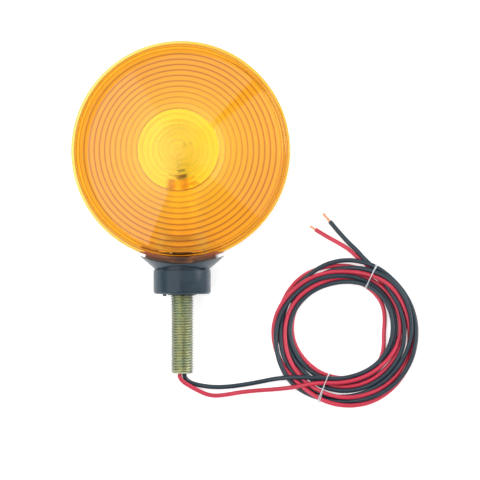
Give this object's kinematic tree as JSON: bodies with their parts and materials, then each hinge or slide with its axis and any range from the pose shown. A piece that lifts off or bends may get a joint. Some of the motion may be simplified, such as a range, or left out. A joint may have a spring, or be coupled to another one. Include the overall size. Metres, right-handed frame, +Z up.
{
  "type": "double-face pedestal lamp",
  "caption": "Round double-face lamp, amber lens over a clear one, on a flared black pedestal with a hollow threaded stud and a tied coil of two leads.",
  "frame": {"origin": "on the surface the lamp lies on, under the middle of its box (the leads and their coil left out)", "axes": "+Z up from the surface, +Y towards the top of the lamp, away from the stud, +X to the side where the coil lies. The lamp lies on its back, so the lens axis leans 13.0 degrees from +Z"},
  "size_m": [0.1665, 0.1724, 0.0584],
  "materials": {
    "amber_lens": "clear amber moulding",
    "clear_lens": "clear moulding",
    "white_plate": "satin white",
    "black_plastic": "semi-gloss black",
    "yellow_zinc": "yellow zinc plate",
    "zinc_steel": "bright zinc plate",
    "socket_steel": "tinned",
    "spring_steel": "drawn wire",
    "phenolic": "paper laminate",
    "brass": "drawn",
    "solder": "dull tin",
    "bulb_glass": "clear",
    "tungsten": "fine coil",
    "red_pvc": "satin wire jacket",
    "black_pvc": "satin wire jacket",
    "copper": "bare strands",
    "clear_tie": "clear coated wire"
  },
  "bodies": {
    "lamp_body": {"rear_lens": "clear_lens", "reflector_plate": "white_plate", "pedestal_saddle": "black_plastic", "pedestal_collar": "black_plastic", "mounting_stud": "yellow_zinc", "jam_nut": "zinc_steel", "clamp_washer": "zinc_steel", "socket_shell": "socket_steel", "socket_base": "phenolic", "ground_tag": "brass", "plunger_spring": "spring_steel", "red_lead_inside": "red_pvc", "black_lead_inside": "black_pvc", "red_lead": "red_pvc", "black_lead": "black_pvc", "lead_coil": "black_pvc", "red_tail": "red_pvc", "black_tail": "black_pvc", "red_bare_end": "copper", "black_bare_end": "copper", "tie_upper": "clear_tie", "tie_lower": "clear_tie"},
    "lens_cover": {"front_lens": "amber_lens"},
    "plunger": {"contact_plunger": "phenolic", "plunger_contact": "brass"},
    "bulb": {"bulb_glass": "bulb_glass", "bulb_cap": "brass", "bulb_contact": "solder", "bulb_stem": "bulb_glass", "bulb_filament": "tungsten", "support_wire_left": "spring_steel", "support_wire_right": "spring_steel"}
  },
  "joints": [
    {"name": "lens_lift", "type": "slide", "parent": "lamp_body", "child": "lens_cover", "axis": [0, -0.2247, 0.9744], "range_m": [0, 0.045]},
    {"name": "contact_push", "type": "slide", "parent": "lamp_body", "child": "plunger", "axis": [0, -0.9744, -0.2247], "range_m": [0, 0.0025], "stiffness_N_per_m": 1500, "springref_m": -0.003, "deforming": ["plunger_spring"]},
    {"name": "bulb_turn", "type": "hinge", "parent": "plunger", "child": "bulb", "pos_m": [0, 0.02565, 0.02918], "axis": [0, 0.9744, 0.2247], "range_deg": [0, 20]}
  ]
}
